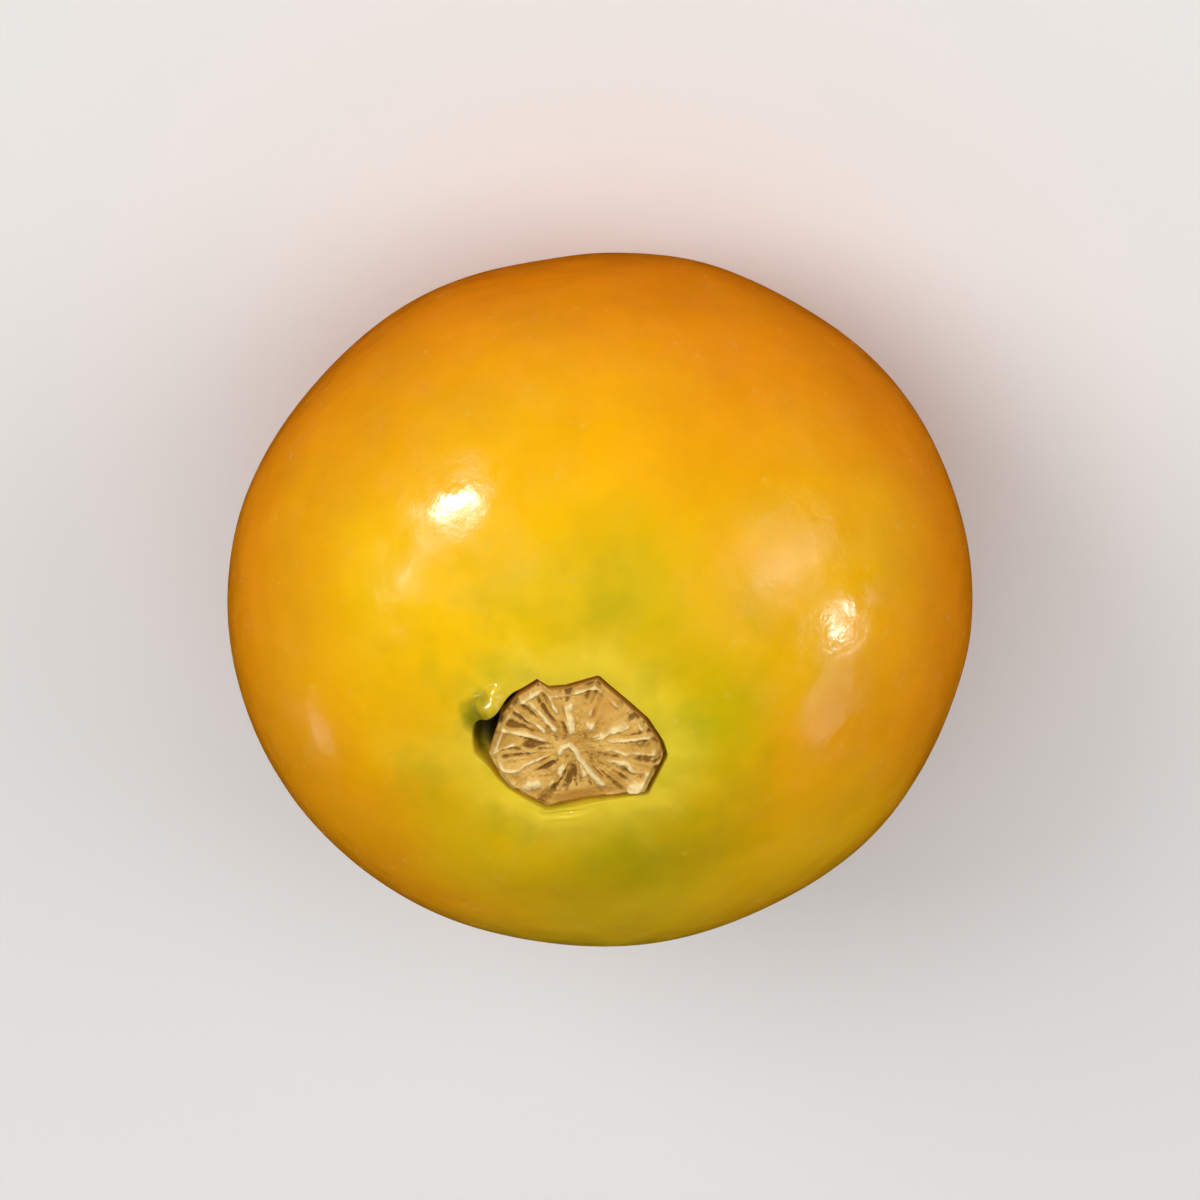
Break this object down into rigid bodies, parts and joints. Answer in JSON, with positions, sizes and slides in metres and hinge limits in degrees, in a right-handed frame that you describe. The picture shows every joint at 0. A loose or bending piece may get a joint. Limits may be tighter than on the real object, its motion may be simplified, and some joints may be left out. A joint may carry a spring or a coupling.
{
  "type": "physalis berry",
  "caption": "Round golden husk-cherry fruit with smooth waxy skin and a small corky stem plate set in a puckered pit, resting on its blossom end.",
  "frame": {"origin": "middle of the small flat resting face at the blossom end", "axes": "+Z from the blossom end to the stem end, +X across the wider side, +Y across the narrower side"},
  "size_m": [0.0206, 0.0192, 0.0185],
  "materials": {
    "waxy_skin": null,
    "dry_cork": null
  },
  "bodies": {
    "root": {"berry": "waxy_skin", "stem_stub": "dry_cork"}
  },
  "joints": []
}
